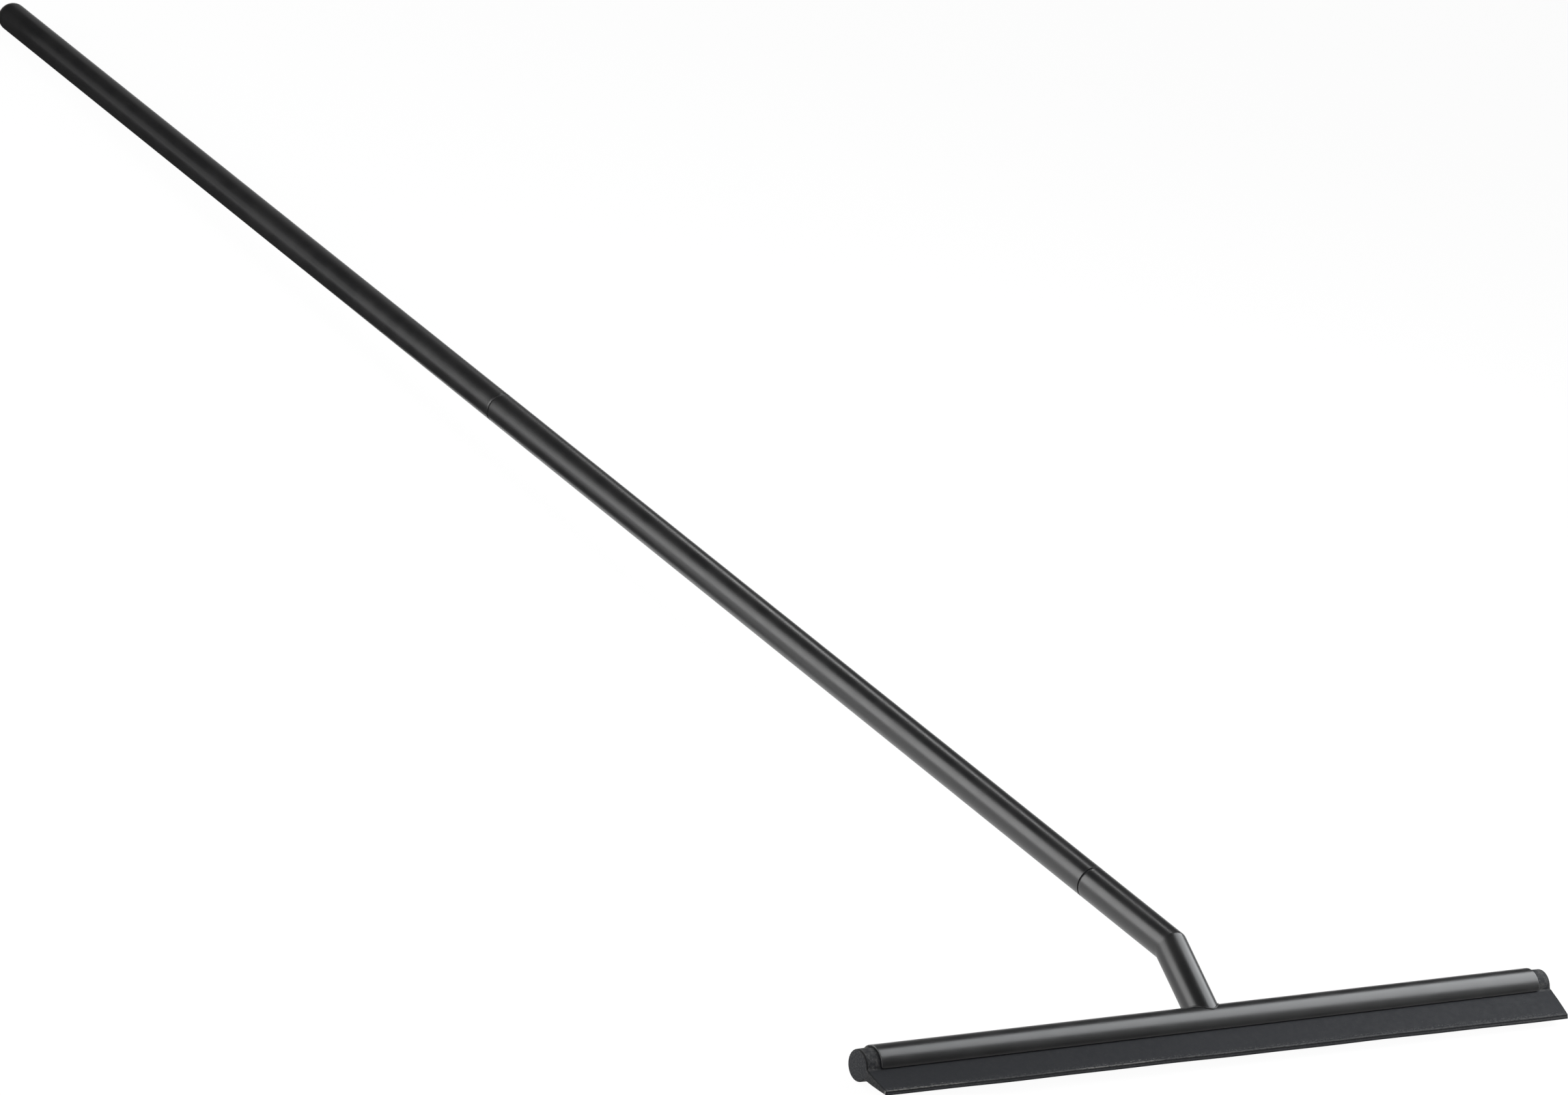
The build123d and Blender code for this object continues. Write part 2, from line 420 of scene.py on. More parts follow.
# %% Black card at the handle's end
end_card_centre, end_card_length, end_card_height = (-0.08, 0.935, 0.10), 0.36, 0.20
upright = (0, quarter_turn, 0)

end_card = flat_sheet("end_card", end_card_centre, end_card_height, end_card_length, upright)
mirrors_only(end_card)
end_card.data.materials.append(dark_card_shade)
print("end card", end_card_length, "by", end_card_height, "m")

# %% [markdown]
# ## Finishes
#
# The tubes carry a satin black powder coat. Close to, such a coat has a fine orange peel, and its
# gloss changes a little from place to place. A noise at about the size of the peel drives a bump,
# and a slower one drives the roughness and the depth of the black. The head's outer rims are
# painted a pale grey in patches: partly coat rubbed thin, partly a painted highlight along the rim.
# Those rims are found by their distance from the head's axis and by how far the surface turns
# towards the end, so no mark has to be drawn onto a picture.

# %% Head rims: worn coat and painted highlight
# Pale grey for the head's rims: partly worn coat, partly a painted highlight.
worn_rim_highlight_grey = (0.17, 0.17, 0.17, 1)
rim_inside, rim_outside = 0.0004, 0.0003
rim_turn, rim_turn_blur = (0.40, 0.75), 0.15
rim_patch_scale = 400.0
rim_patch_shows, rim_patch_least = (0.35, 0.6), 0.35


def rim_wear_and_highlight(tree, place):
    """Where the head's outer rims turn pale grey: partly worn coat, partly painted highlight."""
    outward = tree.nodes.new("ShaderNodeVectorMath")
    outward.operation = "DISTANCE"
    outward.inputs[1].default_value = head_centre
    tree.links.new(stretched(tree, place, (0, 1, 1)), outward.inputs[0])
    from_axis = outward.outputs["Value"]
    outer = spread(tree, from_axis, head_radius - rim_inside, head_radius - rim_outside, 0.0, 1.0)
    turning = between(tree, facing_along_head(tree, "Normal"), *rim_turn, rim_turn_blur)
    rubbed = spread(tree, noise(tree, place, rim_patch_scale), *rim_patch_shows, rim_patch_least, 1.0)
    return product(tree, turning, outer, rubbed)


# %% Powder coat
peel_scale, peel_depth = 1300.0, 0.000010
patch_scale, patch_tones, patch_gloss = 55.0, (0.3, 0.7), (0.25, 0.75)
deep_black = (0.0060, 0.0060, 0.0064, 1)
soft_black = (0.0092, 0.0091, 0.0094, 1)
coat_roughness = (0.29, 0.36)
coat_index = 1.58


def make_powder_coat(name, rims_worn_and_highlit=False):
    """Satin black powder coat with a fine orange peel, and pale head rims if asked: worn coat and
    painted highlight.
    """
    material, tree, shader, place = new_material(name)
    patches = noise(tree, place, patch_scale, detail=3.0)
    depth = spread(tree, patches, *patch_tones, 0.0, 1.0)
    black = blend_colours(tree, depth, deep_black, soft_black)
    if rims_worn_and_highlit:
        # Painted highlight, partly worn coat: the head's outer rims are made pale grey.
        black = blend_colours(tree, rim_wear_and_highlight(tree, place), black, worn_rim_highlight_grey)
    tree.links.new(black, shader.inputs["Base Color"])
    roughness = spread(tree, patches, *patch_gloss, *coat_roughness)
    tree.links.new(roughness, shader.inputs["Roughness"])
    shader.inputs["IOR"].default_value = coat_index
    bump(tree, shader, noise(tree, place, peel_scale), peel_depth)
    return material


powder_coat = make_powder_coat("black_powder_coat")
head_coat = make_powder_coat("worn_and_rim_lit_powder_coat", rims_worn_and_highlit=True)
print("made", powder_coat.name, "and", head_coat.name)

# %% [markdown]
# ## Modelling by hand, in code
#
# Each piece starts as a primitive at its size and place, and is then shaped in edit mode, as with
# the mouse. An operator works on everything that is selected, so these helpers clear the selection
# first and then pick faces or edges by where they are.

# %% Selecting and placing
def clear_selection():
    """Leaves edit mode and deselects every object, the CAD nodes too."""
    if bpy.context.mode != "OBJECT":
        bpy.ops.object.mode_set(mode="OBJECT")
    bpy.ops.object.select_all(action="DESELECT")


def settle(name):
    """Names the new primitive and puts its place into its mesh."""
    piece = bpy.context.object
    piece.name = name
    bpy.ops.object.transform_apply(location=True, rotation=True, scale=True)
    return piece


def take(piece):
    """Makes a piece the only selected and active object."""
    clear_selection()
    piece.select_set(True)
    bpy.context.view_layer.objects.active = piece


def pick(piece, kind, test):
    """In edit mode, selects the faces or edges for which the test is true, and counts them."""
    bpy.ops.mesh.select_mode(type=kind)
    bpy.ops.mesh.select_all(action="DESELECT")
    mesh = bmesh.from_edit_mesh(piece.data)
    elements = {"FACE": mesh.faces, "EDGE": mesh.edges}[kind]
    picked = [element for element in elements if test(element)]
    for element in picked:
        element.select_set(True)
    mesh.select_flush_mode()
    bmesh.update_edit_mesh(piece.data)
    return len(picked)


def tilt_to(direction):
    """The turn about X that stands a primitive's Z axis along a direction in the middle plane."""
    return (math.atan2(direction.z, direction.y) - quarter_turn, 0, 0)


def height_along(point, start, direction):
    """How far a point lies from a start along a direction."""
    return (point - start).dot(direction)


# %% Cutting, rounding and finishing
smooth_limit = math.radians(35)
sharp_limit = math.radians(30)


def score(place, normal):
    """In edit mode, scores a line across the whole piece."""
    bpy.ops.mesh.select_all(action="SELECT")
    bpy.ops.mesh.bisect(plane_co=place, plane_no=normal)


def apply_modifier(piece, kind, **settings):
    """Adds a modifier with its settings to a piece and applies it at once."""
    take(piece)
    bpy.ops.object.modifier_add(type=kind)
    modifier = piece.modifiers[-1]
    for name, value in settings.items():
        setattr(modifier, name, value)
    bpy.ops.object.modifier_apply(modifier=modifier.name)


def cut_away(piece, cutter):
    """Cuts one piece with another, which is used up."""
    apply_modifier(piece, "BOOLEAN", operation="DIFFERENCE", solver="EXACT", object=cutter)
    bpy.data.objects.remove(cutter)


def soften(piece, width):
    """Rounds every sharp edge of a piece."""
    apply_modifier(
        piece, "BEVEL", limit_method="ANGLE", angle_limit=sharp_limit,
        width=width, segments=3,
    )


def finish_piece(piece, material):
    """Smooth shading, one finish, and a count of what was made."""
    take(piece)
    bpy.ops.object.shade_smooth_by_angle(angle=smooth_limit)
    piece.data.materials.clear()
    piece.data.materials.append(material)
    print("%s: %d faces" % (piece.name, len(piece.data.polygons)))


# %% Hollow tubes
round_segments = 96
rim_segments = 4
handle_wall = 0.0012
handle_bore = handle_radius - handle_wall
square_on = 0.99
rim_slack = 1e-5


def hollow_tube(name, start, direction, length):
    """A tube: a cylinder whose end faces are inset, opened, and joined by a bore."""
    clear_selection()
    bpy.ops.mesh.primitive_cylinder_add(
        vertices=round_segments, radius=handle_radius, depth=length,
        location=start + direction * length / 2, rotation=tilt_to(direction),
    )
    tube = settle(name)
    bpy.ops.object.mode_set(mode="EDIT")
    pick(tube, "FACE", lambda face: abs(face.normal.dot(direction)) > square_on)
    bpy.ops.mesh.inset(thickness=handle_radius - handle_bore)
    bpy.ops.mesh.delete(type="FACE")
    pick(tube, "EDGE", lambda edge: edge.is_boundary)
    bpy.ops.mesh.bridge_edge_loops()
    bpy.ops.mesh.select_all(action="SELECT")
    bpy.ops.mesh.normals_make_consistent(inside=False)
    bpy.ops.object.mode_set(mode="OBJECT")
    return tube


def round_rim(tube, centre, width):
    """Rounds the outer rim of a tube end, and scores a line behind it to keep the round local."""
    take(tube)
    bpy.ops.object.mode_set(mode="EDIT")

    def on_rim(edge):
        return all(
            abs(height_along(corner.co, centre, handle_direction)) < rim_slack
            and (corner.co - centre).length > handle_radius - rim_slack
            for corner in edge.verts
        )

    pick(tube, "EDGE", on_rim)
    bpy.ops.mesh.bevel(offset=width, segments=rim_segments, profile=0.5)
    for side in (-1, 1):
        score(centre + handle_direction * side * 2 * width, handle_direction)
    bpy.ops.object.mode_set(mode="OBJECT")


# %% [markdown]
# ## Head tube
#
# The head is a steel strip rolled into a tube, with a slot left open along it that grips the
# rubber. A cylinder with the slot cut out would do, but its cut corners bevel badly. So it is made
# as the mill makes it: a flat strip is scored with lines, its four corners are rounded, it is
# rolled round the head's axis, and then it gets its wall and the small edge round of a coated part.

# %% Flat strip with rounded corners
slot_width = 0.00679
slot_corner_round = 0.0016
roll_lines = 96
corner_angles = (44, 68)
end_lines = (0.0009, 0.0026)
head_length = head_high.x - head_low.x
slot_half_angle = math.asin(slot_width / 2 / head_radius)
strip_width = head_radius * 2 * (math.pi - slot_half_angle)

clear_selection()
bpy.ops.mesh.primitive_grid_add(x_subdivisions=1, y_subdivisions=roll_lines, size=1)
bpy.context.object.scale = (head_length, strip_width, 1)
head_shell = settle("head_shell")

bpy.ops.object.mode_set(mode="EDIT")
for side in (-1, 1):
    for angle in corner_angles:
        inset = slot_corner_round * (1 - math.cos(math.radians(angle)))
        score((0, side * (strip_width / 2 - inset), 0), (0, 1, 0))
    for inset in end_lines:
        score((side * (head_length / 2 - inset), 0, 0), (1, 0, 0))
bpy.ops.object.mode_set(mode="OBJECT")
for corner in head_shell.data.vertices:
    into_round = slot_corner_round - (strip_width / 2 - abs(corner.co.y))
    near_end = 1 - (head_length / 2 - abs(corner.co.x)) / end_lines[-1]
    if into_round > 0 and near_end > 0:
        pulled_back = slot_corner_round - math.sqrt(slot_corner_round ** 2 - into_round ** 2)
        corner.co.x -= math.copysign(pulled_back * near_end, corner.co.x)
print("strip of %.1f by %.1f mm" % (head_length * 1000, strip_width * 1000))

# %% Roll it up and give it a wall
head_wall = 0.0010
coat_edge_round = 0.0004

for corner in head_shell.data.vertices:
    turn = slot_half_angle + (corner.co.y + strip_width / 2) / head_radius
    outward = Quaternion(along_head, turn) @ blade_direction
    corner.co = head_centre + along_head * corner.co.x + outward * head_radius
take(head_shell)
bpy.ops.object.mode_set(mode="EDIT")
bpy.ops.mesh.select_all(action="SELECT")
first_face = bmesh.from_edit_mesh(head_shell.data).faces[:][0]
first_face.normal_update()
if first_face.normal.dot(first_face.calc_center_median() - head_centre) < 0:
    bpy.ops.mesh.flip_normals()
bpy.ops.object.mode_set(mode="OBJECT")
apply_modifier(head_shell, "SOLIDIFY", thickness=head_wall, offset=-1, use_even_offset=True)
soften(head_shell, coat_edge_round)
finish_piece(head_shell, head_coat)
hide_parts("head_tube")
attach(head_shell, "head")

# %% [markdown]
# ## Neck
#
# The neck is two short tubes, mitred and welded, standing on the head tube. Its ends could be
# drawn point by point, but a cutter gives the true curve at once: the lower tube is coped over the
# head with a cylinder, and both tubes are cut along the mitre with a block.

# %% Lower leg of the neck
mitre_weld_half = 0.001
neck_rise = (mitre_point - head_centre).length
cut_size = 0.2
spare = 2 * handle_radius


def mitre_block(offset, side):
    """A large block with one face along the mitre, offset from it, lying on one side of it."""
    clear_selection()
    centre = mitre_point + mitre_normal * (offset + side * cut_size / 2)
    bpy.ops.mesh.primitive_cube_add(size=cut_size, location=centre, rotation=tilt_to(mitre_normal))
    return settle("mitre_block")


neck_stem = hollow_tube("neck_stem", head_centre, neck_direction, neck_rise + spare)
cut_away(neck_stem, mitre_block(-mitre_weld_half, 1))
clear_selection()
bpy.ops.mesh.primitive_cylinder_add(
    vertices=2 * round_segments, radius=head_radius, depth=cut_size,
    location=head_centre, rotation=(0, quarter_turn, 0),
)
cut_away(neck_stem, settle("cope_cutter"))
finish_piece(neck_stem, powder_coat)
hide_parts("neck_lower_tube")
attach(neck_stem, "head")

# %% Upper leg of the neck
neck_rim_round = 0.0010

neck_arm = hollow_tube(
    "neck_arm", mitre_point - handle_direction * spare, handle_direction, neck_reach + spare,
)
cut_away(neck_arm, mitre_block(mitre_weld_half, -1))
round_rim(neck_arm, lower_seam, neck_rim_round)
finish_piece(neck_arm, powder_coat)
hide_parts("neck_upper_tube")
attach(neck_arm, "head")

# %% [markdown]
# The mitre is welded and ground flush, which leaves a crisp crease with a slightly soft ridge. Two
# open bands of tube are trimmed at the mitre, joined, and the crease where they meet is rounded.
# Then the band gets its wall.

# %% Mitre weld
crease_round = 0.0008
same_place = 1e-6


def trimmed_band(name, direction, keep_low, keep_high):
    """The skin of a tube through the mitre, between two planes that lie along the mitre."""
    clear_selection()
    bpy.ops.mesh.primitive_cylinder_add(
        vertices=round_segments, radius=handle_radius, depth=cut_size, end_fill_type="NOTHING",
        location=mitre_point, rotation=tilt_to(direction),
    )
    band = settle(name)
    bpy.ops.object.mode_set(mode="EDIT")
    for offset, outer in ((keep_low, False), (keep_high, True)):
        bpy.ops.mesh.select_all(action="SELECT")
        bpy.ops.mesh.bisect(
            plane_co=mitre_point + mitre_normal * offset, plane_no=mitre_normal,
            clear_inner=not outer, clear_outer=outer,
        )
    bpy.ops.object.mode_set(mode="OBJECT")
    return band


def on_crease(edge):
    """An edge that lies in the plane of the mitre."""
    return all(
        abs(height_along(corner.co, mitre_point, mitre_normal)) < same_place
        for corner in edge.verts
    )


lower_band = trimmed_band("lower_band", neck_direction, -mitre_weld_half, 0)
mitre_bead = trimmed_band("mitre_bead", handle_direction, 0, mitre_weld_half)
lower_band.select_set(True)
bpy.ops.object.join()
bpy.ops.object.mode_set(mode="EDIT")
bpy.ops.mesh.select_all(action="SELECT")
bpy.ops.mesh.remove_doubles(threshold=same_place)
bpy.ops.mesh.normals_make_consistent(inside=False)
print("crease edges:", pick(mitre_bead, "EDGE", on_crease))
bpy.ops.mesh.bevel(offset=crease_round, segments=rim_segments, profile=0.5)
bpy.ops.object.mode_set(mode="OBJECT")
apply_modifier(mitre_bead, "SOLIDIFY", thickness=handle_wall, offset=-1)
finish_piece(mitre_bead, powder_coat)
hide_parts("mitre_weld")
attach(mitre_bead, "head")

# %% [markdown]
# Where the neck stands on the head there is a very fine bead. It is a thin ring around the neck's
# foot, and each of its points is then slid up the neck until it lies on the head tube's round.

# %% Saddle weld
bead_radius = 0.0006
bead_segments = 16

clear_selection()
bpy.ops.mesh.primitive_torus_add(
    major_radius=handle_radius, minor_radius=bead_radius,
    major_segments=2 * round_segments, minor_segments=bead_segments,
    location=head_centre, rotation=tilt_to(neck_direction),
)
saddle_bead = settle("saddle_bead")
across_neck = along_head.cross(neck_direction)
for corner in saddle_bead.data.vertices:
    spot = corner.co - head_centre
    rim = spot - neck_direction * spot.dot(neck_direction)
    across = rim.normalized().dot(across_neck) * handle_radius
    corner.co += neck_direction * math.sqrt(head_radius ** 2 - across ** 2)
finish_piece(saddle_bead, powder_coat)
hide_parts("saddle_weld")
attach(saddle_bead, "head")

# %% [markdown]
# ## Handle
#
# The handle comes in two lengths that screw together. Each is a plain tube, and what shows is its
# rim at a seam. A round rim that faces the camera catches a thin line of light, as at the upper
# seam. A crisp one, or one that faces away, stays dark, as at the lower seam.

# %% Lower handle
seam_gap = 0.0005
crisp_rim_round, rim_round = 0.0002, 0.0005
lower_start = lower_seam + handle_direction * seam_gap
lower_length = (upper_seam - lower_start).length

lower_pole = hollow_tube("lower_pole", lower_start, handle_direction, lower_length)
round_rim(lower_pole, lower_start, crisp_rim_round)
round_rim(lower_pole, upper_seam, rim_round)
finish_piece(lower_pole, powder_coat)
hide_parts("lower_handle_tube")
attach(lower_pole, "lower_handle")

# %% Upper handle
upper_rim_round = 0.0008
upper_start = upper_seam + handle_direction * seam_gap
cap_centre_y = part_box("handle_end_cap")[1].y - handle_radius
upper_length = (cap_centre_y - upper_start.y) / handle_direction.y
cap_centre = upper_start + handle_direction * upper_length

upper_pole = hollow_tube("upper_pole", upper_start, handle_direction, upper_length)
round_rim(upper_pole, upper_start, upper_rim_round)
finish_piece(upper_pole, powder_coat)
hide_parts("upper_handle_tube")
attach(upper_pole, "upper_handle")
print("handle lengths %.4f and %.4f" % (lower_length, upper_length))

# %% [markdown]
# The handle ends in a half ball, flush with the tube. A ball is cut in half, and the flat side is
# inset and drawn out into the stem that holds it in the tube.

# %% Handle end
stem_radius = 0.00825
stem_length = 0.018

clear_selection()
bpy.ops.mesh.primitive_uv_sphere_add(
    segments=round_segments, ring_count=round_segments // 2, radius=handle_radius,
    location=cap_centre, rotation=tilt_to(handle_direction),
)
pole_end = settle("pole_end")
bpy.ops.object.mode_set(mode="EDIT")
bpy.ops.mesh.select_all(action="SELECT")
bpy.ops.mesh.bisect(
    plane_co=cap_centre, plane_no=handle_direction,
    use_fill=True, clear_inner=True, clear_outer=False,
)
pick(pole_end, "FACE", lambda face: face.normal.dot(handle_direction) < -square_on)
bpy.ops.mesh.inset(thickness=handle_radius - stem_radius)
into_tube = -handle_direction * stem_length
bpy.ops.mesh.extrude_region_move(TRANSFORM_OT_translate={"value": into_tube})
bpy.ops.object.mode_set(mode="OBJECT")
finish_piece(pole_end, powder_coat)
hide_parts("handle_end_cap")
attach(pole_end, "upper_handle")

# %% [markdown]
# ## Rubber
#
# The rubber is matte dark grey, and it has been handled: fine grain, pale specks, dust that has
# gathered along the upper edge of the lip and on the bulb beside the tube. The lip's cut ends carry
# painted shade, the slant carries a pale film that is partly dust and partly painted light, and
# dark lines run along the slanted edge and round the cut ends. A painted picture could hold these
# marks, but it would have to be unwrapped. Here each is worked out from where a point lies: how far
# out along the lip, how far from the cut end, and how far along the head.

# %% What the marks follow
blade_reach = 0.0292
top_face_reach = 0.0278
end_turn = (0.85, 0.97)
stretch_scale, mottle_scale, grain_scale = 40.0, 320.0, 1100.0
streak_scale, streak_squeeze = 1500.0, (0.35, 1, 1)
speck_scale = 2400.0


def read_note(tree, name):
    """A value that each point of the piece noted before it was bent."""
    node = tree.nodes.new("ShaderNodeAttribute")
    node.attribute_name = name
    return node.outputs["Fac"]


def rubber_clues(tree, place):
    """Where a point lies on the rubber, and noises from slow to fine."""
    streak_place = stretched(tree, place, streak_squeeze)
    length_only = stretched(tree, place, along_head)
    return {
        "reach": read_note(tree, "reach"),
        "from_end": read_note(tree, "from_end"),
        "along": measure_along(tree, place, head_centre, along_head),
        "on_end": spread(tree, facing_along_head(tree, "True Normal"), *end_turn, 0.0, 1.0),
        "stretches": noise(tree, length_only, stretch_scale, detail=3.0),
        "mottle": noise(tree, place, mottle_scale, detail=4.0, roughness=0.6),
        "grain": noise(tree, place, grain_scale, detail=4.0, roughness=0.6),
        "streaks": noise(tree, streak_place, streak_scale, detail=3.0, roughness=0.6),
        "specks": noise(tree, place, speck_scale, detail=1.0),
    }


# %% Dust along the lip's upper edge
left_end_worn, left_rest = (-0.192, -0.174), 0.34
chipped_stretch, chipped_blur, chipped_share = (-0.100, -0.056), 0.012, 0.85
rubbed_stretch, rubbed_blur, rubbed_share = (-0.012, 0.026), 0.018, 0.36
right_spared, right_share = (0.030, 0.080), 0.75
line_width, line_blur, line_breaks = 0.0007, 0.0003, (0.34, 0.54)
line_thins, line_least = (0.35, 0.65), 0.6
haze_start, haze_end, haze_blur = 0.0012, 0.0004, 0.0030
haze_shows, haze_most = (0.52, 0.70), 0.28
fleck_start, fleck_end, fleck_blur = 0.0022, 0.0004, 0.0006
fleck_shows, fleck_most = (0.56, 0.66), 0.65


def edge_wear(tree, along):
    """How much dust the edge holds at each place along the head."""
    left = spread(tree, along, *left_end_worn, 1.0, left_rest)
    chipped = product(tree, between(tree, along, *chipped_stretch, chipped_blur), chipped_share)
    rubbed = product(tree, between(tree, along, *rubbed_stretch, rubbed_blur), rubbed_share)
    right = spread(tree, along, *right_spared, 1.0, right_share)
    return product(tree, greatest(tree, left, chipped, rubbed), right)


def edge_dust(tree, clue):
    """A broken pale line on the edge, and a faint haze and loose flecks behind it."""
    wear = edge_wear(tree, clue["along"])
    line = product(
        tree,
        between(tree, clue["reach"], top_face_reach - line_width, top_face_reach, line_blur),
        spread(tree, clue["streaks"], *line_breaks, 0.0, 1.0),
        spread(tree, clue["stretches"], *line_thins, line_least, 1.0),
        wear,
    )
    haze_band = (top_face_reach - haze_start, top_face_reach - haze_end)
    haze = product(
        tree,
        between(tree, clue["reach"], *haze_band, haze_blur),
        spread(tree, clue["grain"], *haze_shows, 0.0, haze_most),
    )
    fleck_band = (top_face_reach - fleck_start, top_face_reach - fleck_end)
    flecks = product(
        tree,
        between(tree, clue["reach"], *fleck_band, fleck_blur),
        spread(tree, clue["streaks"], *fleck_shows, 0.0, fleck_most),
        wear,
    )
    return greatest(tree, line, haze, flecks)


# %% Film of dust on the bulb and the cut ends; dust and painted light on the slant
bulb_to_lip = (0.0088, 0.0102)
film_fade = (0.0080, 0.0095)
bulb_clouds, bulb_cloud_share = (0.36, 0.64), (0.15, 1.1)
bulb_grain, bulb_film = (0.34, 0.70), (0.16, 0.40)
cut_end_grain, cut_end_most = (0.40, 0.70), 0.17
slant_margin, slant_blur = 0.0006, 0.0002
slant_grain, slant_film_and_light = (0.36, 0.66), (0.08, 0.13)
right_end, right_end_gain = (0.10, 0.20), 2.2


def dust_film_and_slant_light(tree, clue):
    """A thin film: dust, cloudy on the bulb beside the tube and finer on the cut ends; on the
    slant, partly dust and partly painted light.
    """
    reach, grain, on_end = clue["reach"], clue["grain"], clue["on_end"]
    bulb = product(
        tree,
        spread(tree, reach, *bulb_to_lip, 1.0, 0.0),
        spread(tree, clue["from_end"], *film_fade, 1.0, 0.0),
        spread(tree, clue["mottle"], *bulb_clouds, *bulb_cloud_share),
        spread(tree, grain, *bulb_grain, *bulb_film),
        spread(tree, on_end, 0.0, 1.0, 1.0, 0.0),
    )
    cut_end = product(tree, on_end, spread(tree, grain, *cut_end_grain, 0.0, cut_end_most))
    slant_band = (top_face_reach + slant_margin, blade_reach - slant_margin)
    # Painted light, partly dust: the downward slant is lightened, more towards the right end.
    slant_dust_and_light = product(
        tree,
        between(tree, reach, *slant_band, slant_blur),
        spread(tree, grain, *slant_grain, *slant_film_and_light),
        spread(tree, clue["along"], *right_end, 1.0, right_end_gain),
    )
    return greatest(tree, bulb, cut_end, slant_dust_and_light)


# %% Dark lines round the rubber
cut_rim, cut_rim_blur, cut_rim_share = (0.0003, 0.0009), 0.0003, 0.85
upper_crease, upper_crease_blur = (0.0001, 0.0004), 0.0001
lower_crease, lower_crease_share = (0.0004, 0.0001), 0.9
crease_eases, crease_middle_share = (-0.212, -0.190), 0.6
crease_pales, crease_right_share = (0.05, 0.18), 0.6


def dark_lines(tree, clue):
    """Lines round the cut ends and along both edges of the slant."""
    reach = clue["reach"]
    rim = product(
        tree,
        between(tree, clue["from_end"], *cut_rim, cut_rim_blur),
        spread(tree, clue["on_end"], 0.0, 1.0, cut_rim_share, 0.0),
    )
    upper_edge = [top_face_reach + step for step in upper_crease]
    upper = product(
        tree,
        between(tree, reach, *upper_edge, upper_crease_blur),
        spread(tree, clue["along"], *crease_eases, 1.0, crease_middle_share),
        spread(tree, clue["along"], *crease_pales, 1.0, crease_right_share),
    )
    lower_edge = [blade_reach - step for step in lower_crease]
    lower = spread(tree, reach, *lower_edge, 0.0, lower_crease_share)
    return greatest(tree, rim, upper, lower)


# %% Rubber material
# A darker grey, painted as shade on the lip's cut ends.
lip_end_shade_colour = (0.0068, 0.0073, 0.0084, 1)
plain_rubber = (0.0119, 0.0129, 0.0157, 1)
pale_rubber = (0.0151, 0.0162, 0.0193, 1)
# Pale grey of the dust, also used as painted light on the slant.
dust_and_light_colour = (0.165, 0.162, 0.155, 1)
crease_black = (0.0045, 0.0048, 0.0052, 1)
cloud_tones, cloud_gloss = (0.32, 0.68), (0.3, 0.7)
lip_root, lip_end_shade_range = (0.0085, 0.0105), (0.1, 0.8)
speck_shows, speck_most = (0.72, 0.80), 0.30
rubber_roughness = (0.64, 0.76)
rubber_shine = 0.2
grain_depth = 0.000035


def make_rubber():
    """Matte grey rubber with grain, pale specks, dust, dark lines along its edges, painted shade on
    the lip's cut ends and painted light on the slant.
    """
    material, tree, shader, place = new_material("grey_rubber")
    clue = rubber_clues(tree, place)
    cloud = spread(tree, clue["mottle"], *cloud_tones, 0.0, 1.0)
    colour = blend_colours(tree, cloud, plain_rubber, pale_rubber)
    # Painted shade: the lip's cut ends are darkened, the bulb's ends only a little.
    lip_end_shade = product(tree, clue["on_end"], spread(tree, clue["reach"], *lip_root, *lip_end_shade_range))
    colour = blend_colours(tree, lip_end_shade, colour, lip_end_shade_colour)
    specks = spread(tree, clue["specks"], *speck_shows, 0.0, speck_most)
    # Dust, specks and the painted light on the slant share one pale colour.
    dust_and_light = greatest(tree, edge_dust(tree, clue), dust_film_and_slant_light(tree, clue), specks)
    colour = blend_colours(tree, dust_and_light, colour, dust_and_light_colour)
    colour = blend_colours(tree, dark_lines(tree, clue), colour, crease_black)
    roughness = spread(tree, clue["mottle"], *cloud_gloss, *rubber_roughness)
    tree.links.new(colour, shader.inputs["Base Color"])
    tree.links.new(roughness, shader.inputs["Roughness"])
    shader.inputs["Specular IOR Level"].default_value = rubber_shine
    bump(tree, shader, clue["grain"], grain_depth)
    return material


grey_rubber = make_rubber()
print("made", grey_rubber.name, "with", len(grey_rubber.node_tree.nodes), "nodes")

# %% [markdown]
# ## Rubber blade
#
# The blade is one extruded rubber: a round bulb that fills the head tube and a tapering lip that
# comes out of the slot, cut at a slant along its edge. Its section is drawn as a disc, the edges
# that face the slot are pulled out row by row into the lip, and the section is then drawn along
# the head in many short spans. One long span would do for a straight strip, but this one bends.

# %% Section of the rubber
bulb_radius = 0.0090
edge_half = 0.0009
root_half = 0.00265
flank_slope = (root_half - edge_half) / (blade_reach - head_radius)
lip_root_angle = math.radians(20)
lip_rows = (0.0106, 0.0160, 0.0220, 0.0273)
bulb_segments = 72

rubber_low, rubber_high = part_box("rubber_blade")
rubber_length = rubber_high.x - rubber_low.x
rubber_start = Vector((rubber_low.x, head_centre.y, head_centre.z))

clear_selection()
bpy.ops.mesh.primitive_circle_add(vertices=bulb_segments, radius=bulb_radius, fill_type="NGON")
blade_rubber = settle("blade_rubber")
for corner in blade_rubber.data.vertices:
    corner.co = rubber_start + blade_direction * corner.co.x + blade_down * corner.co.y


def faces_slot(edge):
    """An edge of the disc within the lip's root."""
    middle = (edge.verts[0].co + edge.verts[1].co) / 2 - rubber_start
    return math.acos(min(1.0, middle.normalized().dot(blade_direction))) < lip_root_angle


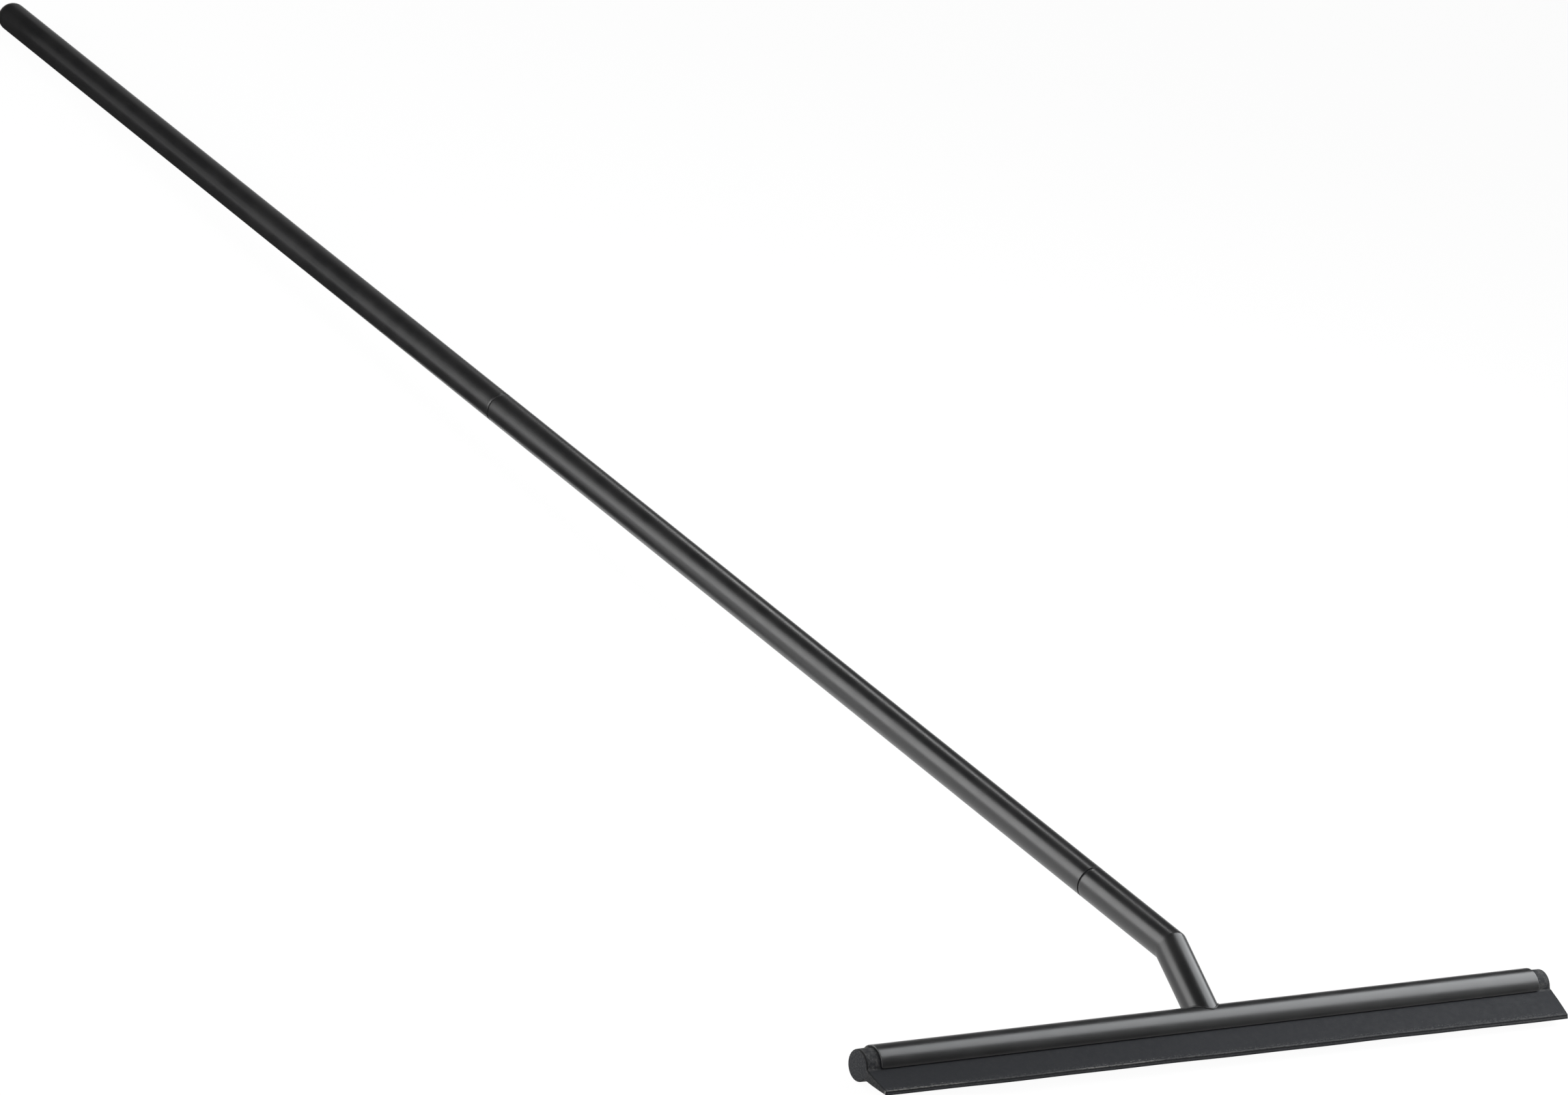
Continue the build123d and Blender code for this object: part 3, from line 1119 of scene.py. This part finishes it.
def pull_out_row(reach_above, reach_below):
    """Extrudes the selected edges into the next row of the lip."""
    bpy.ops.mesh.extrude_edges_move()
    mesh = bmesh.from_edit_mesh(blade_rubber.data)
    row = [corner for corner in mesh.verts if corner.select]
    heights = [height_along(corner.co, rubber_start, blade_down) for corner in row]
    top, bottom = min(heights), max(heights)
    for corner, height in zip(row, heights):
        share = (height - top) / (bottom - top)
        reach = reach_above + (reach_below - reach_above) * share
        half = edge_half + flank_slope * (blade_reach - reach)
        corner.co = rubber_start + blade_direction * reach + blade_down * half * (2 * share - 1)
    bmesh.update_edit_mesh(blade_rubber.data)


bpy.ops.object.mode_set(mode="EDIT")
print("lip edges:", pick(blade_rubber, "EDGE", faces_slot))
for row_reach in lip_rows:
    pull_out_row(row_reach, row_reach)
pull_out_row(top_face_reach, blade_reach)

# %% Draw the section along the head
rubber_spans = 46
span_step = along_head * rubber_length / rubber_spans

bpy.ops.mesh.select_all(action="SELECT")
for span in range(rubber_spans):
    bpy.ops.mesh.extrude_region_move(TRANSFORM_OT_translate={"value": span_step})
bpy.ops.mesh.select_all(action="SELECT")
bpy.ops.mesh.normals_make_consistent(inside=False)
print("drawn in", rubber_spans, "spans of %.1f mm" % (span_step.length * 1000))

# %% Round its edges
bulb_end_round, bulb_end_segments = 0.0010, 5
rubber_edge_round = 0.00022
merge_distance = 0.000004


def from_head_axis(point):
    """A point's offset from the head's axis, square to it."""
    return point - head_centre - along_head * point.x


def on_bulb_end(edge):
    """An edge round the flat end of the bulb, outside the lip's root."""
    middle = from_head_axis((edge.verts[0].co + edge.verts[1].co) / 2)
    return all(
        abs(abs(corner.co.x) - rubber_length / 2) < same_place
        and abs(from_head_axis(corner.co).length - bulb_radius) < same_place
        for corner in edge.verts
    ) and middle.angle(blade_direction) > lip_root_angle


print("bulb end edges:", pick(blade_rubber, "EDGE", on_bulb_end))
bpy.ops.mesh.bevel(offset=bulb_end_round, segments=bulb_end_segments, profile=0.5)
for side in (-1, 1):
    score((side * (rubber_length / 2 - 2 * bulb_end_round), 0, 0), along_head)
bpy.ops.object.mode_set(mode="OBJECT")
soften(blade_rubber, rubber_edge_round)
bpy.ops.object.mode_set(mode="EDIT")
bpy.ops.mesh.select_all(action="SELECT")
bpy.ops.mesh.remove_doubles(threshold=merge_distance)
bpy.ops.object.mode_set(mode="OBJECT")

# %% [markdown]
# A rubber strip is never quite straight. Outside the slot this one leans up a little at its left
# end and down at its right end, has a slight wave, and its outer corners are worn back. Past the
# tube the bulb narrows towards its cut ends. Each point first notes how far out and how far from
# the end it was on the straight strip, so that dust and dark rims still follow the edges of the
# bent one.

# %% Bend the lip a little
lip_droop = 0.0017
lip_wave = 0.00012
long_wave, long_phase = 0.17, 0.6
short_wave, short_phase, short_share = 0.071, 2.1, 0.6
bend_power = 1.4
corner_wear = 0.0006
cut_end_side = 0.999
bulb_taper = 0.00025
overhang = (rubber_length - head_length) / 2

reach_note = blade_rubber.data.attributes.new("reach", "FLOAT", "POINT")
end_note = blade_rubber.data.attributes.new("from_end", "FLOAT", "POINT")
for corner in blade_rubber.data.vertices:
    from_axis = from_head_axis(corner.co)
    reach = from_axis.dot(blade_direction)
    from_end = rubber_length / 2 - abs(corner.co.x)
    reach_note.data[corner.index].value = reach
    end_note.data[corner.index].value = from_end
    if reach < bulb_radius and from_end < overhang:
        corner.co -= from_axis * (1 - from_end / overhang) * bulb_taper / bulb_radius
    freedom = max(0.0, (reach - head_radius) / (blade_reach - head_radius)) ** bend_power
    side = corner.co.x / (rubber_length / 2)
    wave = math.sin(corner.co.x / long_wave * 2 * math.pi + long_phase)
    wave += short_share * math.sin(corner.co.x / short_wave * 2 * math.pi + short_phase)
    corner.co.z -= freedom * (lip_droop * side + lip_wave * wave)
    if abs(side) > cut_end_side:
        corner.co.x -= math.copysign(corner_wear * freedom, side)
finish_piece(blade_rubber, grey_rubber)
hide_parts("rubber_blade")
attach(blade_rubber, "blade")

# %% [markdown]
# ## Pieces that stay as the CAD made them
#
# The threaded inserts and the washers have their real shape already, thread and all. They only
# need their finish: moulded nylon, and black fibre.

# %% Nylon and fibre
cloud_shows = (0.3, 0.7)
fibre_fuzz = {"scale": 1600.0, "detail": 5.0, "roughness": 0.7}


def make_matte(name, greys, roughness, cloud, grain, depth):
    """A matte grey whose tone and gloss follow one noise, and whose bump follows another."""
    material, tree, shader, place = new_material(name)
    clouds = noise(tree, place, **cloud)
    grey = blend_colours(tree, spread(tree, clouds, *cloud_shows, 0.0, 1.0), *greys)
    tree.links.new(grey, shader.inputs["Base Color"])
    tree.links.new(spread(tree, clouds, *cloud_shows, *roughness), shader.inputs["Roughness"])
    bump(tree, shader, noise(tree, place, **grain), depth)
    return material


moulded_nylon = make_matte(
    "moulded_nylon", greys=((0.040, 0.040, 0.042, 1), (0.052, 0.052, 0.054, 1)),
    roughness=(0.42, 0.55), cloud={"scale": 260.0, "detail": 3.0}, grain={"scale": 1800.0},
    depth=0.000012,
)
black_fibre = make_matte(
    "black_fibre", greys=((0.008, 0.008, 0.008, 1), (0.018, 0.018, 0.018, 1)),
    roughness=(0.75, 0.9), cloud=fibre_fuzz, grain=fibre_fuzz, depth=0.00003,
)
kept_nodes = {
    moulded_nylon: (
        "neck_spigot", "lower_handle_socket", "lower_handle_spigot", "upper_handle_socket",
    ),
    black_fibre: ("lower_joint_washer", "upper_joint_washer"),
}
for material, names in kept_nodes.items():
    for name in names:
        node = frame["nodes"][name]
        node.data.materials.clear()
        node.data.materials.append(material)
    print(material.name, "on", len(names), "nodes")
